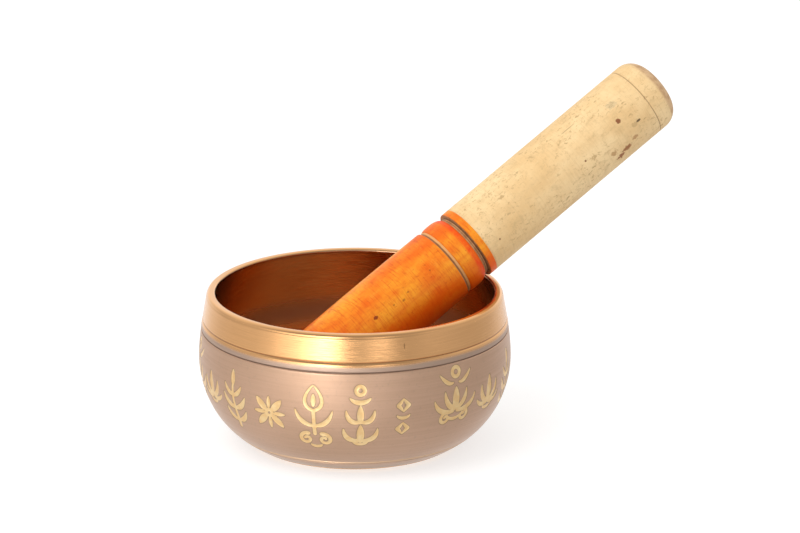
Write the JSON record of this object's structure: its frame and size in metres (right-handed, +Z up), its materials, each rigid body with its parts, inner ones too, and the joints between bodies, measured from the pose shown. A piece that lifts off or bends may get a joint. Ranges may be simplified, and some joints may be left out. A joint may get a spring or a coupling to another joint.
{
  "type": "singing bowl with striker",
  "caption": "Small polished and patinated metal singing bowl with a turned wooden striker that leans on the rim and lifts out.",
  "frame": {"origin": "on the bowl's axis, at the plane the foot rests on", "axes": "+Z up along the bowl's axis; +X to the right as seen from the front (-Y) side; the striker's handle heads 28 degrees from +X towards +Y"},
  "size_m": [0.1533, 0.1065, 0.1126],
  "materials": {
    "polished_brass": "polished, with fine turning lines round the axis",
    "patina": "matte taupe patina, engraved through to gold",
    "pale_wood": "bare, finely turned",
    "orange_lacquer": "orange lacquer on wood, satin gloss"
  },
  "bodies": {
    "bowl": {"bowl": "polished_brass", "bowl_patina": "patina"},
    "striker": {"striker": "pale_wood", "striker_lacquer": "orange_lacquer"}
  },
  "joints": [
    {"name": "striker_lift", "type": "slide", "parent": "bowl", "child": "striker", "axis": [0, 0, 1], "range_m": [0, 0.09]}
  ]
}
